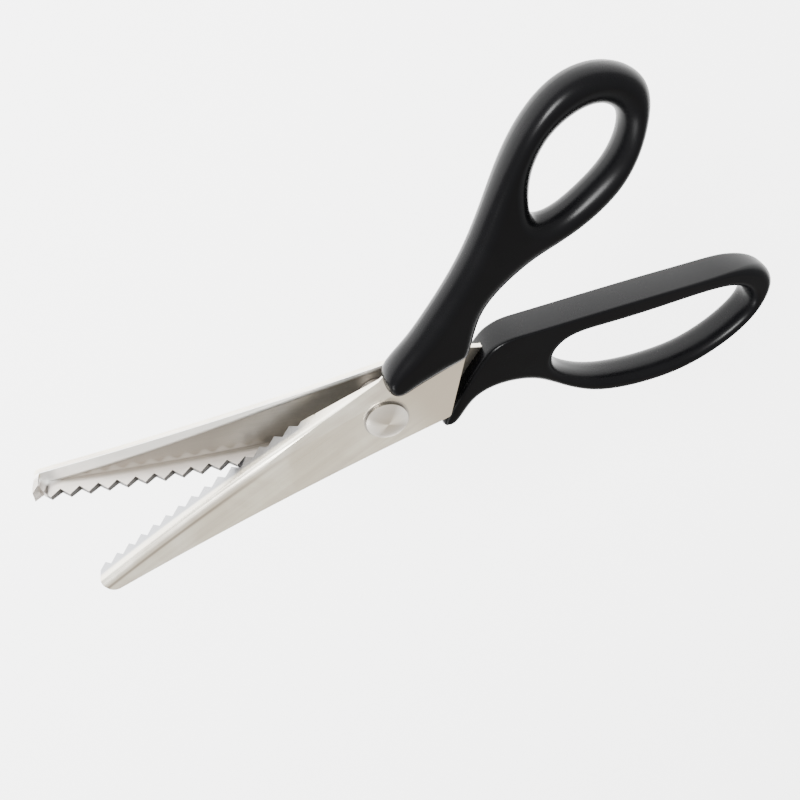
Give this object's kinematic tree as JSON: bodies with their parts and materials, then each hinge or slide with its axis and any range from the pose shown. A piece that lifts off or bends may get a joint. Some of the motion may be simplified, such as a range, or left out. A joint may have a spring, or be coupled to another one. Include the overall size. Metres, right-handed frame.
{
  "type": "pinking shears",
  "caption": "Fabric shears with zigzag-toothed pressed steel blades that turn on a domed screw pivot, with a small round thumb bow and a long finger bow moulded on the tangs.",
  "frame": {"origin": "on the pivot axis, in the plane of the pivot nut's outer face, where the screw ends flush", "axes": "+Z along the pivot axis from the nut to the screw's domed head, +X towards the tip of the lower blade, +Y towards that blade's toothed edge"},
  "size_m": [0.2159, 0.1401, 0.022],
  "materials": {
    "blade_steel": "stainless steel brushed along the blade",
    "collar_steel": "turned steel, matt",
    "pivot_steel": "nickel-plated steel, satin",
    "bronze": "plain bronze",
    "grip_plastic": "black moulded plastic with a soft gloss"
  },
  "bodies": {
    "lower_half": {"lower_blade": "blade_steel", "lower_collar": "collar_steel", "friction_washer": "bronze", "head_washer": "pivot_steel", "pivot_screw": "pivot_steel", "spring_washer": "pivot_steel", "pivot_nut": "pivot_steel", "finger_grip": "grip_plastic"},
    "upper_half": {"upper_blade": "blade_steel", "upper_collar": "collar_steel", "thumb_grip": "grip_plastic"}
  },
  "joints": [
    {"name": "pivot", "type": "hinge", "parent": "lower_half", "child": "upper_half", "pos_m": [0, 0, 0.0103], "axis": [0, 0, 1], "range_deg": [-21.3, 24]}
  ]
}
